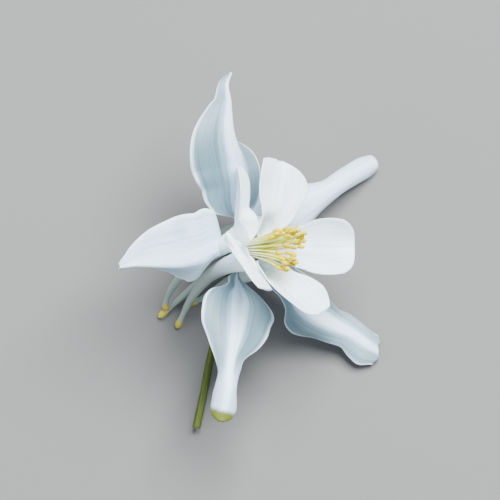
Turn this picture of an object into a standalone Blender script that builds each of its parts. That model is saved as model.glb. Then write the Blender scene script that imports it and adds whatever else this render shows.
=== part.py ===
"""Columbine flower: sepals, spurred petals, stamens, carpels and a cut stem.

The flower lies on a surface, held up by its spurs, two sepal tips and the cut end of its stem.
Lengths here are in millimetres and angles in degrees; meshes are written in metres.

Each organ is shaped in its own local frame: x points out from the flower's axis, z points along
the axis to the front of the flower, and y completes the frame. The organ is then turned about the
axis to its azimuth, and the axis itself leans away from the vertical.
"""
import math

import bmesh
import bpy
import numpy as np

MM = 0.001

# Pose of the whole flower
AXIS_LEAN = 37.7          # flower's axis, away from the vertical
AXIS_HEADING = -4.9       # compass heading of that lean, from +X
FIRST_SEPAL = 115.3       # azimuth of sepal_1 about the flower's axis
FIRST_PETAL = 79.3        # azimuth of petal_1, half way between two sepals
ORGANS = 5
TURN = 360 / ORGANS

# Walls and clearances
SEPAL_WALL = 0.40
PETAL_WALL = 0.36
SEAT_GAP = 0.3            # between an organ's foot and the receptacle

# Receptacle, the knob at the end of the stem that carries every organ
RECEPTACLE_RADIUS = 1.9
RECEPTACLE_BACK = -2.4
RECEPTACLE_RIM = 1.1
RECEPTACLE_TOP = 2.0

# Stem
STEM_RADIUS = 0.8
STEM_ROUTE = ((-2.2, 0.1, -4.4), (-2.4, -2.0, -7.4), (-2.2, -5.4, -11.2), (-3.4, -10.5, -13.2),
              (-5.9, -18.5, -14.4), (-7.4, -26.0, -15.1), (-9.0, -33.6, -15.6))

# Stamens and carpels
STAMEN_RINGS = ((16, 1.34), (24, 1.70))     # number of stamens and radius of each ring
STAMEN_LENGTH = 13.2
STAMEN_VARIETY = 1.3      # how much the stamens differ in length
STAMEN_SHIFT = 0.4        # sideways shift of all tips
INNER_EXTRA = 5.6         # extra length per millimetre nearer the axis
HIGH_STAMENS = (1.1, 2.2, 3.2)              # lift of the tips, its growth, and their fan
LOW_STAMENS = (-2.2, 3.2, 2.1)
FILAMENT_RADIUS = 0.13
ANTHER_RADIUS = 0.28
ANTHER_LENGTH = 1.5
CARPEL_RING = 0.78
OVARY_RADIUS = 0.36
OVARY_LENGTH = 6.5
STYLE_RADIUS = 0.15
CARPEL_LENGTH = 18.0
CARPEL_BOW = 1.3          # towards the flower's high side
CARPEL_SPREAD = 1.0       # outwards

# Mesh density
SEPAL_ROWS, SEPAL_COLUMNS = 18, 8
PETAL_ROWS, PETAL_COLUMNS = 28, 10


def at_knots(knots, s):
    """Smooth curve through (s, value...) rows: a cubic between each two of them."""
    rows = np.asarray(knots, float)
    places, values = rows[:, 0], rows[:, 1:]
    slopes = np.gradient(values, places, axis=0)
    s = np.clip(np.asarray(s, float), places[0], places[-1])
    k = np.clip(np.searchsorted(places, s, side="right") - 1, 0, len(places) - 2)
    step = (places[k + 1] - places[k])[..., None]
    x = (s - places[k])[..., None] / step
    return ((2 * x**3 - 3 * x**2 + 1) * values[k] + (x**3 - 2 * x**2 + x) * step * slopes[k]
            + (3 * x**2 - 2 * x**3) * values[k + 1] + (x**3 - x**2) * step * slopes[k + 1])


def value_at(knots, s):
    """Smooth single value along (s, value) rows."""
    return at_knots(knots, s)[..., 0]


def unit(vectors):
    return vectors / np.maximum(np.linalg.norm(vectors, axis=-1, keepdims=True), 1e-12)


def smooth(x):
    x = np.clip(x, 0, 1)
    return x * x * (3 - 2 * x)


def bezier(points, s):
    """Bezier curve of any degree."""
    points = np.asarray(points, float)
    degree = len(points) - 1
    s = np.asarray(s, float)[:, None]
    return sum(math.comb(degree, k) * s**k * (1 - s)**(degree - k) * points[k]
               for k in range(degree + 1))


# Bend of a sepal's half, in degrees at these places from its foot to its tip
BEND_PLACES = (0, 0.15, 0.35, 0.6, 0.8, 1.0)
FOLD_GRIP = 6
CURL_POWER = 1.5


def bends(*values):
    """Knots for bends in degrees at BEND_PLACES, from a sepal's foot to its tip."""
    return list(zip(BEND_PLACES, values))


NARROW_CLAW = [(0, 0.6), (0.07, 0.6), (0.11, 0.8), (0.135, 1.6)]
BROAD = NARROW_CLAW + [(0.165, 5.0), (0.2, 6.4), (0.32, 7.9), (0.45, 9.3), (0.57, 9.4),
                       (0.67, 8.0), (0.74, 6.3), (0.81, 4.6), (0.9, 3.3), (0.965, 2.0), (1, 0.8)]

# spine: place, then x, y, z. half: width of each half. fold: turn at the midrib, and
# curl: further turn from the midrib to the margin, for the left half and the right half.
# roll: turn of the whole section about the spine, lifting its right half.
SEPALS = (
    dict(spine=[(0, 2.2, 0, -0.2), (.15, 7.4, -.4, 2), (.32, 13, -.6, 4.5), (.5, 18.2, .2, 7),
                (.68, 24.4, .9, 9), (.85, 30.4, .9, 10), (1, 35.3, -.9, 10.3)],
         half=(BROAD, NARROW_CLAW + [(0.16, 5.0), (0.2, 6.6), (0.34, 8.3), (0.45, 9.4),
                                     (0.57, 9.7), (0.67, 8.2), (0.74, 6.4), (0.81, 4.8),
                                     (0.9, 3.2), (0.965, 1.6), (1, 0.3)]),
         fold=(bends(0, -10, -14, -60, -80, -60), bends(0, -15, -25, -25, -25, -25)),
         curl=(bends(0, -10, -20, -50, -60, -40), bends(0, -5, -5, -10, -10, -20))),
    dict(spine=[(0, 2.2, 0, -0.2), (.15, 6, .4, 1.1), (.32, 11.5, 2.2, 2.6), (.5, 18.5, 4, 4.1),
                (.68, 25.6, 4.6, 5), (.85, 31, 4.9, 5.5), (1, 34, 5.4, 5)],
         half=([(0, 0.6), (0.12, 0.6), (0.155, 0.8), (0.172, 4.4), (0.19, 6.8), (0.22, 8.4),
                (0.3, 8.9), (0.4, 9.4), (0.55, 8.9), (0.67, 7.3), (0.76, 5.6), (0.84, 3.8),
                (0.92, 2.0), (0.965, 1.4), (1, 0.8)],
               NARROW_CLAW + [(0.2, 4.6), (0.3, 6.2), (0.38, 6.4), (0.45, 5.2), (0.55, 3.4),
                              (0.67, 2.6), (0.84, 2.0), (0.965, 1.4), (1, 0.8)]),
         fold=(bends(0, 0, 0, 0, -5, -10), bends(0, -30, -60, -75, -85, -60)),
         curl=(bends(0, 0, -5, -10, -20, -30), bends(0, 0, -10, -40, -60, -40))),
    dict(spine=[(0, 2.2, 0, -0.2), (.15, 6.6, -.1, 1), (.32, 11, .1, 3), (.5, 17.5, .2, 5),
                (.68, 24.8, -.2, 6.5), (.85, 31, .4, 7), (1, 36.6, 1.2, 6)],
         half=(NARROW_CLAW + [(0.19, 1.9), (0.23, 3.3), (0.26, 5.4), (0.32, 7.0), (0.4, 7.6),
                              (0.5, 7.2), (0.58, 5.4), (0.64, 3.9), (0.7, 3.2), (0.8, 3.6),
                              (0.9, 3.8), (0.95, 3.3), (0.985, 2.0), (1, 0.3)],
               NARROW_CLAW + [(0.165, 4.4), (0.24, 8.2), (0.31, 10.3), (0.4, 9.2), (0.5, 7.0),
                              (0.56, 5.3), (0.6, 3.9), (0.64, 2.9), (0.7, 2.5), (0.8, 2.7),
                              (0.9, 2.9), (0.95, 2.7), (0.985, 1.8), (1, 0.3)]),
         fold=(bends(0, 0, -8, -10, -10, -10), bends(0, 0, 0, 0, -10, -10)),
         curl=(bends(0, -20, -30, -50, -90, -50), bends(0, -10, -15, -25, -90, -50)),
         roll=bends(0, 0, 0, 10, 30, 30)),
    dict(spine=[(0, 2.2, 0, -0.2), (.15, 6, -.1, .4), (.32, 12, -1.2, 2.2), (.5, 18, -1.2, 3.6),
                (.68, 24.6, -.1, 4.1), (.85, 29.6, 1.2, 4.6), (1, 35.5, 2.1, 5.0)],
         half=(NARROW_CLAW + [(0.22, 1.6), (0.34, 1.6), (0.4, 3.0), (0.44, 5.2), (0.5, 6.2), (0.6, 6.0),
                              (0.7, 5.2), (0.81, 4.6), (0.9, 4.8), (0.965, 4.6), (1, 4.2)],
               NARROW_CLAW + [(0.165, 5.0), (0.32, 7.9), (0.45, 9.3), (0.57, 9.4), (0.67, 8.2),
                              (0.76, 6.8), (0.85, 5.6), (0.92, 4.8), (1, 3.6)]),
         fold=(bends(0, 0, -20, -25, -15, -10), bends(0, 0, -8, -10, -15, -10)),
         curl=(bends(0, -20, -40, -60, -50, -30), bends(0, -20, -40, -70, -60, -30))),
    dict(spine=[(0, 2.2, 0, -0.2), (.15, 6.4, .3, .6), (.32, 11.6, .2, 2.0), (.5, 17.6, -.7, 3.4),
                (.68, 24.6, -1.5, 3.8), (.85, 30.6, -2.3, 3.8), (1, 37.3, -3.6, 3.7)],
         half=(NARROW_CLAW + [(0.165, 4.2), (0.25, 8.0), (0.34, 9.8), (0.42, 10.4), (0.48, 9.2),
                              (0.57, 8.2), (0.67, 7.3), (0.8, 6.4), (0.9, 6.2), (0.97, 5.6),
                              (1, 4.2)],
               NARROW_CLAW + [(0.165, 4.2), (0.32, 7.7), (0.45, 9.0), (0.57, 8.6), (0.67, 7.4),
                              (0.8, 6.4), (0.9, 6.2), (0.97, 5.6), (1, 4.2)]),
         fold=(bends(0, 0, -5, -20, -20, -20), bends(0, 0, -10, -20, -20, -20)),
         curl=(bends(0, -20, -30, -130, -160, -150), bends(0, -20, -60, -130, -160, -150))),
)


def sepal_surface(shape, rows, columns):
    """Middle surface of a sepal, as points on rows by columns (s along it, t from margin to margin).

    A point lies at spine(s) + across(s, t) * width direction + lift(s, t) * front direction, where
    across and lift are the sums of cos and sin of the section's turn from the midrib outwards:
    turn = fold(s) * tanh(grip |t|) + curl(s) * |t|**power.
    """
    s = np.linspace(0, 1, rows + 1)
    spine = at_knots(shape["spine"], s)
    along = unit(np.gradient(spine, axis=0))
    width = unit(np.cross([0, 0, 1.0], along))
    front = np.cross(along, width)
    roll = np.radians(value_at(shape.get("roll", bends(0, 0, 0, 0, 0, 0)), s))[:, None]
    width, front = (width * np.cos(roll) + front * np.sin(roll),
                    front * np.cos(roll) - width * np.sin(roll))
    middle = columns // 2
    away = np.linspace(0, 1, middle + 1)
    across = np.zeros((rows + 1, columns + 1))
    lift = np.zeros((rows + 1, columns + 1))
    for side, half, fold, curl in zip((-1, 1), shape["half"], shape["fold"], shape["curl"]):
        turn = np.radians(value_at(fold, s)[:, None] * np.tanh(FOLD_GRIP * away)
                          + value_at(curl, s)[:, None] * away**CURL_POWER)
        step = value_at(half, s)[:, None] / middle
        sums = [np.cumsum((f[:, 1:] + f[:, :-1]) / 2 * step, axis=1)
                for f in (np.cos(turn), np.sin(turn))]
        places = middle + side * np.arange(1, middle + 1)
        across[:, places] = side * sums[0]
        lift[:, places] = sums[1]
    return spine[:, None] + across[..., None] * width[:, None] + lift[..., None] * front[:, None]


# mouth: x and z of the mouth's centre. start and bow: where the spur heads, from the mouth.
# knob and hook: end of the spur and the point it curls from.
# spread: angle between blade and axis. lean and twist: of the blade, sideways and about itself.
# broad: width against the others. lip: how far the end of the blade bends back.
# slant: how much longer the blade is at its left margin than at its midrib.
# corner: how much shorter the blade is at both margins. opening: half angle of its section.
PETAL_SHARED = dict(mouth=(4.5, 5.2), start=(0.4, 0, -7), bow=(1.6, 0, -14), corner=2.5, twist=0,
                    lean=0, opening=60, broad=1.0, lip=12, slant=0)
PETALS = (
    dict(knob=(-0.9, -0.5, -20.3), hook=(-0.2, -0.6, -21.4), spread=78, lean=13, length=13.8,
         corner=2.6, slant=1.2, broad=0.92),
    dict(knob=(-3.95, 10.3, -20.9), hook=(-1.55, 9.0, -22.0), start=(0.5, 0.2, -6), bow=(1.4, 4.4, -14),
         spread=60, lean=-25, length=14.2, broad=0.8, opening=58, mouth=(4.6, 5.0), corner=2.5,
         twist=20),
    dict(knob=(9.2, 10.8, -20.3), hook=(6.6, 10.6, -21.2), start=(0.6, 0.4, -6), spread=26,
         lean=-15.5, length=12.8, opening=10, lip=75, twist=9, corner=0.3, mouth=(4.6, 5.4),
         broad=1.06),
    dict(knob=(9.0, -4.1, -17.2), hook=(10.4, -2.2, -18.1), spread=43, lean=9.5, length=14.7,
         opening=60, corner=3.6, slant=-0.4, broad=0.9),
    dict(knob=(-3.9, -11.8, -22.7), hook=(-2.3, -12.0, -23.7), spread=43, lean=-1, length=15.0,
         corner=1.4, bow=(1.9, 4.0, -14)),
)
MOUTH_RADIUS = 2.25
SPUR_RADII = [(0, 0.0), (0.008, 0.38), (0.02, 0.62), (0.035, 0.72), (0.055, 0.66), (0.08, 0.56),
              (0.2, 0.66), (0.5, 1.15), (0.75, 1.55), (0.88, 1.82), (1, MOUTH_RADIUS)]
BLADE_HALF_WIDTHS = [(0, math.pi * MOUTH_RADIUS), (0.1, 4.9), (0.25, 5.0), (0.5, 6.5),
                     (0.75, 6.9), (1.0, 5.9)]
FLARE = 5.0               # length over which the blade turns outwards
UNROLL = 4.5              # length over which the tube opens into the blade
LIP = 4.0                 # length of the end that bends back
BACK_GUIDE = np.array([0.825, 0, -0.565])   # way that the petal's back faces
RECURVE = 0.6             # how far the margins turn back
RECURVE_RUN = 5.0         # length over which they start to
SPUR_SAMPLES = 400
BLADE_SAMPLES = 150


def petal_surface(shape, rows, columns):
    """Outer surface of a petal, from the knob of its spur to the edge of its blade.

    A line runs along the petal's back. At each place on it the section is an arc of radius r and
    half angle a, both read there, so that a point is back + r (cos(a t) - 1) * outwards
    + r sin(a t) * sideways. The half angle is 180 along the spur, where the section is a whole
    circle, and falls to the blade's opening over the first part of the blade.
    """
    shape = {**PETAL_SHARED, **shape}
    mouth = np.array([shape["mouth"][0], 0, shape["mouth"][1]])
    spur = bezier((mouth, mouth + shape["start"], mouth + shape["bow"], shape["hook"],
                   shape["knob"]), np.linspace(0, 1, SPUR_SAMPLES))[::-1]
    run = np.concatenate([[0], np.cumsum(np.linalg.norm(np.diff(spur, axis=0), axis=1))])
    spur_length, blade_length = run[-1], shape["length"]
    spur_along = unit(np.gradient(spur, run, axis=0))
    start = math.degrees(math.atan2(spur_along[-1, 0], spur_along[-1, 2]))
    place = np.linspace(0, blade_length, BLADE_SAMPLES)[1:]
    angle = np.radians(start + (shape["spread"] - start) * smooth(place / FLARE)
                       + shape["lip"] * smooth((place - blade_length + LIP) / LIP))
    lean = np.radians(shape["lean"]) * smooth(place / FLARE)
    blade_along = np.stack([np.cos(lean) * np.sin(angle), np.sin(lean),
                            np.cos(lean) * np.cos(angle)], 1)
    along = np.concatenate([spur_along, blade_along])
    place = np.concatenate([run - spur_length, place])

    outwards = unit(BACK_GUIDE - along * (along @ BACK_GUIDE)[:, None])
    sideways = np.cross(along, outwards)
    twist = np.radians(shape["twist"]) * smooth(place / blade_length)[:, None]
    outwards, sideways = (outwards * np.cos(twist) + sideways * np.sin(twist),
                          sideways * np.cos(twist) - outwards * np.sin(twist))

    tube = value_at(SPUR_RADII, 1 + np.clip(place, -spur_length, 0) / spur_length)
    blade = value_at(BLADE_HALF_WIDTHS, np.clip(place, 0, blade_length) / blade_length)
    blade = blade * (1 + (shape["broad"] - 1) * smooth(place / UNROLL))
    rolled = (1 - np.clip(place / UNROLL, 0, 1))**2
    half_angle = np.radians(shape["opening"] + (180 - shape["opening"]) * rolled)
    radius = np.where(place <= 0, tube, blade / half_angle)
    steps = blade_along * (blade_length / (BLADE_SAMPLES - 1))
    spur_back = spur + tube[:len(spur), None] * outwards[:len(spur)]
    back = np.concatenate([spur_back, spur_back[-1] + np.cumsum(steps, axis=0)])

    v = np.linspace(0, 1, rows + 1)[:, None]
    t = np.linspace(-1, 1, columns + 1)[None, :]
    reach = v * (spur_length + blade_length) - spur_length
    reach = reach + (shape["slant"] * t - shape["corner"] * t**4) * smooth(reach / blade_length)

    def read(values):
        if values.ndim == 1:
            return np.interp(reach, place, values)
        return np.stack([np.interp(reach, place, column) for column in values.T], -1)

    r, turn = read(radius), read(half_angle) * t
    recurve = RECURVE * t**4 * smooth(reach / RECURVE_RUN)
    points = (read(back) + (r * (np.cos(turn) - 1) + recurve)[..., None] * read(outwards)
              + (r * np.sin(turn))[..., None] * read(sideways))
    return points


def material(name, colour, roughness, subsurface=0.0):
    shader = bpy.data.materials.new(name)
    shader.use_nodes = True
    principled = shader.node_tree.nodes["Principled BSDF"]
    principled.inputs["Base Color"].default_value = (*colour, 1)
    principled.inputs["Roughness"].default_value = roughness
    principled.inputs["Subsurface Weight"].default_value = subsurface
    shader.diffuse_color = (*colour, 1)
    return shader


def empty(name, parent=None):
    holder = bpy.data.objects.new(name, None)
    holder.parent = parent
    bpy.context.scene.collection.objects.link(holder)
    return holder


def add_object(name, data, finish, collection, parent, azimuth=0.0):
    piece = bpy.data.objects.new(name, data)
    collection.objects.link(piece)
    piece.parent = parent
    piece.rotation_euler = (0, 0, math.radians(azimuth))
    data.materials.append(finish)
    return piece


def sheet_mesh(name, surface):
    """Grid bent to a surface of points; points that fall together are merged."""
    rows, columns = surface.shape[0] - 1, surface.shape[1] - 1
    grid = bmesh.new()
    bmesh.ops.create_grid(grid, x_segments=columns, y_segments=rows, size=1)
    grid.verts.ensure_lookup_table()
    for vertex, point in zip(grid.verts, surface.reshape(-1, 3) * MM):
        vertex.co = point
    bmesh.ops.remove_doubles(grid, verts=grid.verts, dist=1e-6)
    mesh = bpy.data.meshes.new(name)
    grid.to_mesh(mesh)
    grid.free()
    mesh.shade_smooth()
    return mesh


def give_wall(piece, thickness, offset):
    wall = piece.modifiers.new("wall", "SOLIDIFY")
    wall.thickness = thickness * MM
    wall.offset = offset


def tube_curve(name, points, radii, sides):
    """Round rod through points, with its own radius at each of them."""
    curve = bpy.data.curves.new(name, "CURVE")
    curve.dimensions = "3D"
    curve.bevel_depth = MM
    curve.bevel_resolution = (sides - 4) // 2
    curve.use_fill_caps = True
    spline = curve.splines.new("POLY")
    spline.points.add(len(points) - 1)
    for target, point, radius in zip(spline.points, points, radii):
        target.co = (*(np.asarray(point) * MM), 1)
        target.radius = radius
    spline.use_smooth = True
    return curve


def make_sepals(collection, axis, finish):
    for number, shape in enumerate(SEPALS):
        name = f"sepal_{number + 1}"
        mesh = sheet_mesh(name, sepal_surface(shape, SEPAL_ROWS, SEPAL_COLUMNS))
        piece = add_object(name, mesh, finish, collection, axis, FIRST_SEPAL + TURN * number)
        give_wall(piece, SEPAL_WALL, 0)


def make_petals(collection, axis, finish):
    for number, shape in enumerate(PETALS):
        name = f"petal_{number + 1}"
        mesh = sheet_mesh(name, petal_surface(shape, PETAL_ROWS, PETAL_COLUMNS))
        piece = add_object(name, mesh, finish, collection, axis, FIRST_PETAL + TURN * number)
        give_wall(piece, PETAL_WALL, -1)


def receptacle_height(radius):
    """Height of the receptacle's domed top at a distance from the axis."""
    return RECEPTACLE_RIM + (RECEPTACLE_TOP - RECEPTACLE_RIM) * math.sqrt(
        max(0, 1 - (radius / RECEPTACLE_RADIUS)**2))


def make_receptacle(collection, axis, finish):
    """Turned knob: a dome on a short drum that narrows to the stem."""
    radii = RECEPTACLE_RADIUS * np.sin(np.radians(np.linspace(0, 90, 6)))
    profile = [(r, receptacle_height(r)) for r in radii]
    profile += [(RECEPTACLE_RADIUS * 0.97, -0.6), (RECEPTACLE_RADIUS * 0.75, -1.7),
                (STEM_RADIUS * 1.15, RECEPTACLE_BACK), (0, RECEPTACLE_BACK)]
    mesh = bpy.data.meshes.new("receptacle")
    mesh.from_pydata([(r * MM, 0, z * MM) for r, z in profile],
                     [(k, k + 1) for k in range(len(profile) - 1)], [])
    piece = add_object("receptacle", mesh, finish, collection, axis)
    turn = piece.modifiers.new("turn", "SCREW")
    turn.steps = turn.render_steps = 20
    turn.use_merge_vertices = True
    turn.merge_threshold = 1e-5
    turn.use_smooth_shade = True


def stamen_line(number, angle, ring, count=5):
    """Filament from the receptacle, bowed to the low side of the flower."""
    across, up = math.cos(angle) * ring, math.sin(angle) * ring
    scale = 1 / STAMEN_RINGS[-1][1]
    lift, rise, fan = HIGH_STAMENS if up > 0 else LOW_STAMENS
    length = (STAMEN_LENGTH + STAMEN_VARIETY * math.sin(number * 2.4 + 1)
              + INNER_EXTRA * (STAMEN_RINGS[-1][1] - ring))
    foot = np.array([across, up, receptacle_height(ring) + SEAT_GAP])
    tip = np.array([STAMEN_SHIFT + fan * across * scale, lift + rise * up * scale, length])
    middle = np.array([1.15 * across, 1.1 * up, foot[2] + 0.45 * length])
    return bezier((foot, middle, tip), np.linspace(0, 1, count))


def make_stamens(collection, axis, finish):
    number = 0
    for count, ring in STAMEN_RINGS:
        for step in range(count):
            number += 1
            line = stamen_line(number, 2 * math.pi * (step + 0.5) / count, ring)
            heading = unit(line[-1] - line[-2])
            anther = [line[-1] + heading * ANTHER_LENGTH * k for k in (0.15, 0.5, 0.85, 1.0)]
            radii = [FILAMENT_RADIUS] * len(line) + [ANTHER_RADIUS * k for k in (0.8, 1, 0.8, 0.35)]
            name = f"stamen_{number:02d}"
            curve = tube_curve(name, [*line, *anther], radii, 6)
            add_object(name, curve, finish, collection, axis)


def make_carpels(collection, axis, finish):
    for number in range(ORGANS):
        angle = math.radians(FIRST_PETAL + TURN * number)
        out = np.array([math.cos(angle), math.sin(angle), 0])
        base = receptacle_height(CARPEL_RING) + SEAT_GAP
        heights = (0, 0.6, 2.2, 4.5, OVARY_LENGTH, 10, 14, CARPEL_LENGTH - base)
        radii = [OVARY_RADIUS * k for k in (0.6, 0.9, 1, 0.9)] + [STYLE_RADIUS * k
                                                                 for k in (1.5, 1.1, 1, 0.9)]
        points = []
        for height in heights:
            share = height / CARPEL_LENGTH
            bow = np.array([0, CARPEL_BOW * share**2, 0])
            points.append(out * (CARPEL_RING + CARPEL_SPREAD * share**2) + bow
                          + (0, 0, base + height))
        name = f"carpel_{number + 1}"
        add_object(name, tube_curve(name, points, radii, 8), finish, collection, axis)


def make_stem(collection, root, finish):
    lean, heading = math.radians(AXIS_LEAN), math.radians(AXIS_HEADING)
    axis = np.array([math.sin(lean) * math.cos(heading), math.sin(lean) * math.sin(heading),
                     math.cos(lean)])
    route = [axis * (RECEPTACLE_BACK - SEAT_GAP), *STEM_ROUTE]
    knots = [(k, *point) for k, point in enumerate(route)]
    points = at_knots(knots, np.linspace(0, len(route) - 1, 22))
    stem = tube_curve("stem", points, [STEM_RADIUS] * len(points), 10)
    add_object("stem", stem, finish, collection, root)


def stand_on_origin(collection, root):
    """Move the whole so that the middle of its lowest plane is the origin."""
    bpy.context.view_layer.update()
    graph = bpy.context.evaluated_depsgraph_get()
    corners = []
    for piece in collection.objects:
        ready = piece.evaluated_get(graph)
        mesh = ready.to_mesh()
        points = np.empty(len(mesh.vertices) * 3)
        mesh.vertices.foreach_get("co", points)
        world = np.array(ready.matrix_world)
        points = points.reshape(-1, 3) @ world[:3, :3].T + world[:3, 3]
        corners += [points.min(axis=0), points.max(axis=0)]
        ready.to_mesh_clear()
    low, high = np.min(corners, axis=0), np.max(corners, axis=0)
    root.location = (-(low[0] + high[0]) / 2, -(low[1] + high[1]) / 2, -low[2])


def main():
    for leftover in list(bpy.data.objects):
        bpy.data.objects.remove(leftover)
    collection = bpy.data.collections.new("columbine_flower")
    bpy.context.scene.collection.children.link(collection)
    root = empty("flower")
    axis = empty("flower_axis", root)
    axis.rotation_euler = (0, math.radians(AXIS_LEAN), math.radians(AXIS_HEADING))
    white = material("sepal_white", (0.86, 0.90, 0.96), 0.5, 0.2)
    cream = material("petal_white", (0.93, 0.94, 0.96), 0.45, 0.2)
    yellow = material("stamen_yellow", (0.90, 0.68, 0.12), 0.6)
    lime = material("carpel_green", (0.62, 0.62, 0.18), 0.5)
    green = material("stem_green", (0.28, 0.36, 0.06), 0.5)
    make_stem(collection, root, green)
    make_receptacle(collection, axis, green)
    make_sepals(collection, axis, white)
    make_petals(collection, axis, cream)
    make_carpels(collection, axis, lime)
    make_stamens(collection, axis, yellow)
    stand_on_origin(collection, root)


main()
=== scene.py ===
"""Columbine flower: white sepals and spurred petals, stamens, carpels and a cut stem.

Lengths in the shape functions are millimetres and angles are degrees. Each organ is shaped in
its own local frame: x points out from the flower's axis, z points along the axis to the front of
the flower, and y completes the frame. The organ is then turned about the axis to its azimuth, the
axis leans away from the vertical, and the whole is set on the CAD receptacle, in metres.
"""
import math

import bmesh
import bpy
import numpy as np
from bpy.props import FloatProperty, FloatVectorProperty, PointerProperty
from bpy.types import Operator, Panel, PropertyGroup
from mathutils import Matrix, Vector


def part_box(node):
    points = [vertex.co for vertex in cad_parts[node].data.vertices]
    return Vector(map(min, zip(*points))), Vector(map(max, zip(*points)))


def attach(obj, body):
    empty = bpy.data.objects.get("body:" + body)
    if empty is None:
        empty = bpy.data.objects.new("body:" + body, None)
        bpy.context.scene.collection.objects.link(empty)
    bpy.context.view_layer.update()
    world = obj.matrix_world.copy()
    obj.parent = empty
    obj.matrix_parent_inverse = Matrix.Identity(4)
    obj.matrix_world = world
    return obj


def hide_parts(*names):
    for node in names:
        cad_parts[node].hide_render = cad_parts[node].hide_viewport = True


bl_info = {
    "name": "Columbine Flower",
    "version": (1, 0, 0),
    "blender": (4, 5, 0),
    "location": "View3D > Sidebar > Columbine",
    "description": "Builds a white columbine flower with spurred petals, stamens and a cut stem",
    "category": "Add Mesh",
}

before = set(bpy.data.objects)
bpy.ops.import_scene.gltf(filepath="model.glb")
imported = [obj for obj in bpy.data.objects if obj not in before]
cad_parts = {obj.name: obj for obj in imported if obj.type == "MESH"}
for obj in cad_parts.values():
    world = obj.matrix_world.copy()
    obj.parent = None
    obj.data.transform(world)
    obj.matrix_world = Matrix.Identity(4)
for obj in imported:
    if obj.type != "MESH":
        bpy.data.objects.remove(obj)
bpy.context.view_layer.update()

MM = 0.001
MERGE_DISTANCE = 2e-7

# Pose of the flower: its axis from the vertical, that lean's heading from +X, and the azimuths
# of the first sepal and the first petal
AXIS_LEAN = 37.7
AXIS_HEADING = -4.9
FIRST_SEPAL = 115.3
FIRST_PETAL = 79.3
ORGANS = 5
TURN = 360 / ORGANS

# Receptacle
RECEPTACLE_RADIUS = 1.9
RECEPTACLE_BACK = -2.4
RECEPTACLE_RIM = 1.1
RECEPTACLE_TOP = 2.0
RECEPTACLE_FOOT = 0.92
RECEPTACLE_GRID = (80, 64)
SCAR_DEPTH = 0.05
SCAR_HEIGHT, SCAR_RUN = 0.4, 0.8
SEAT_GAP = 0.3

# Stem, as points from the flower's centre with the axis already leant
STEM_RADIUS = 0.8
STEM_SAMPLES = 180
STEM_SIDES = 48
STEM_FURROW, STEM_RIDGE = 0.05, 0.02
STEM_ROUTE = ((-2.2, 0.1, -4.4), (-2.4, -2.0, -7.4), (-2.2, -5.4, -11.2), (-3.4, -10.5, -13.2),
              (-5.9, -18.5, -14.4), (-7.4, -26.0, -15.1), (-9.0, -33.6, -15.6))

# Stamens: the number and the radius of each ring, their length and how much it varies, the
# sideways shift of all tips, and the extra length for each millimetre nearer the axis
STAMEN_RINGS = ((16, 1.34), (24, 1.70))
STAMEN_LENGTH = 13.2
STAMEN_VARIETY = 1.3
STAMEN_PHASE = 2.4
STAMEN_SHIFT = 0.6
INNER_EXTRA = 5.6
# Lift of the tips, how it grows with the stamen's height in its ring, and how far they fan out
HIGH_STAMENS = (0.5, 2.4, 3.1)
LOW_STAMENS = (0.2, 4.8, 1.4)
# Middle of a filament, against its foot's place across and up and against its length
FILAMENT_BOW = (1.15, 1.1, 0.45)
FILAMENT_POINTS = 14
ANTHER_POINTS = 13
ANTHER_LENGTH = 1.9
ANTHER_START = 0.02
ANTHER_BLUNT = 0.1
LOBE_CLEFT = 0.28
STAMEN_SIDES = 12

# Carpels: the radius of their ring, their length, and how far the styles bow
CARPEL_RING = 0.78
CARPEL_LENGTH = 18.0
CARPEL_BOW = 2.6
CARPEL_POINTS = 60
CARPEL_SIDES = 16
CARPEL_RIB = 0.06
CARPEL_PROFILE = [(0, 0.6), (0.04, 0.9), (0.14, 1.0), (0.28, 0.9), (0.4, 0.6), (0.5, 0.45),
                  (0.8, 0.4), (0.97, 0.42), (1, 0.3)]


# ---------------------------------------------------------------- curves and small formulas

def at_knots(knots, s):
    """Smooth curve through (s, value...) rows: a cubic between each two of them."""
    rows = np.asarray(knots, float)
    places, values = rows[:, 0], rows[:, 1:]
    slopes = np.gradient(values, places, axis=0)
    s = np.clip(np.asarray(s, float), places[0], places[-1])
    k = np.clip(np.searchsorted(places, s, side="right") - 1, 0, len(places) - 2)
    step = (places[k + 1] - places[k])[..., None]
    x = (s - places[k])[..., None] / step
    return ((2 * x**3 - 3 * x**2 + 1) * values[k] + (x**3 - 2 * x**2 + x) * step * slopes[k]
            + (3 * x**2 - 2 * x**3) * values[k + 1] + (x**3 - x**2) * step * slopes[k + 1])


def value_at(knots, s):
    """Smooth single value along (s, value) rows."""
    return at_knots(knots, s)[..., 0]


def unit(vectors):
    """Vectors scaled to length one."""
    return vectors / np.maximum(np.linalg.norm(vectors, axis=-1, keepdims=True), 1e-12)


def smooth(x):
    """Ramp from 0 to 1 with flat ends: x squared times (3 - 2 x)."""
    x = np.clip(x, 0, 1)
    return x * x * (3 - 2 * x)


def waves(turns, along, across, number):
    """Sine waves on a sheet: turns are counted along it, across it and from organ to organ."""
    return np.sin(2 * math.pi * (turns[0] * along + turns[1] * across + turns[2] * number))


def bezier(points, s):
    """Bezier curve of any degree: the sum of binomial weights times the points."""
    points = np.asarray(points, float)
    degree = len(points) - 1
    s = np.asarray(s, float)[:, None]
    return sum(math.comb(degree, k) * s**k * (1 - s)**(degree - k) * points[k]
               for k in range(degree + 1))


def run_along(points):
    """Distance of each point from the first, along the line that they make."""
    return np.concatenate([[0], np.cumsum(np.linalg.norm(np.diff(points, axis=0), axis=1))])


def normals(surface):
    """Unit normals of a grid of points: row direction crossed with column direction."""
    return unit(np.cross(np.gradient(surface, axis=0), np.gradient(surface, axis=1)))


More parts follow.
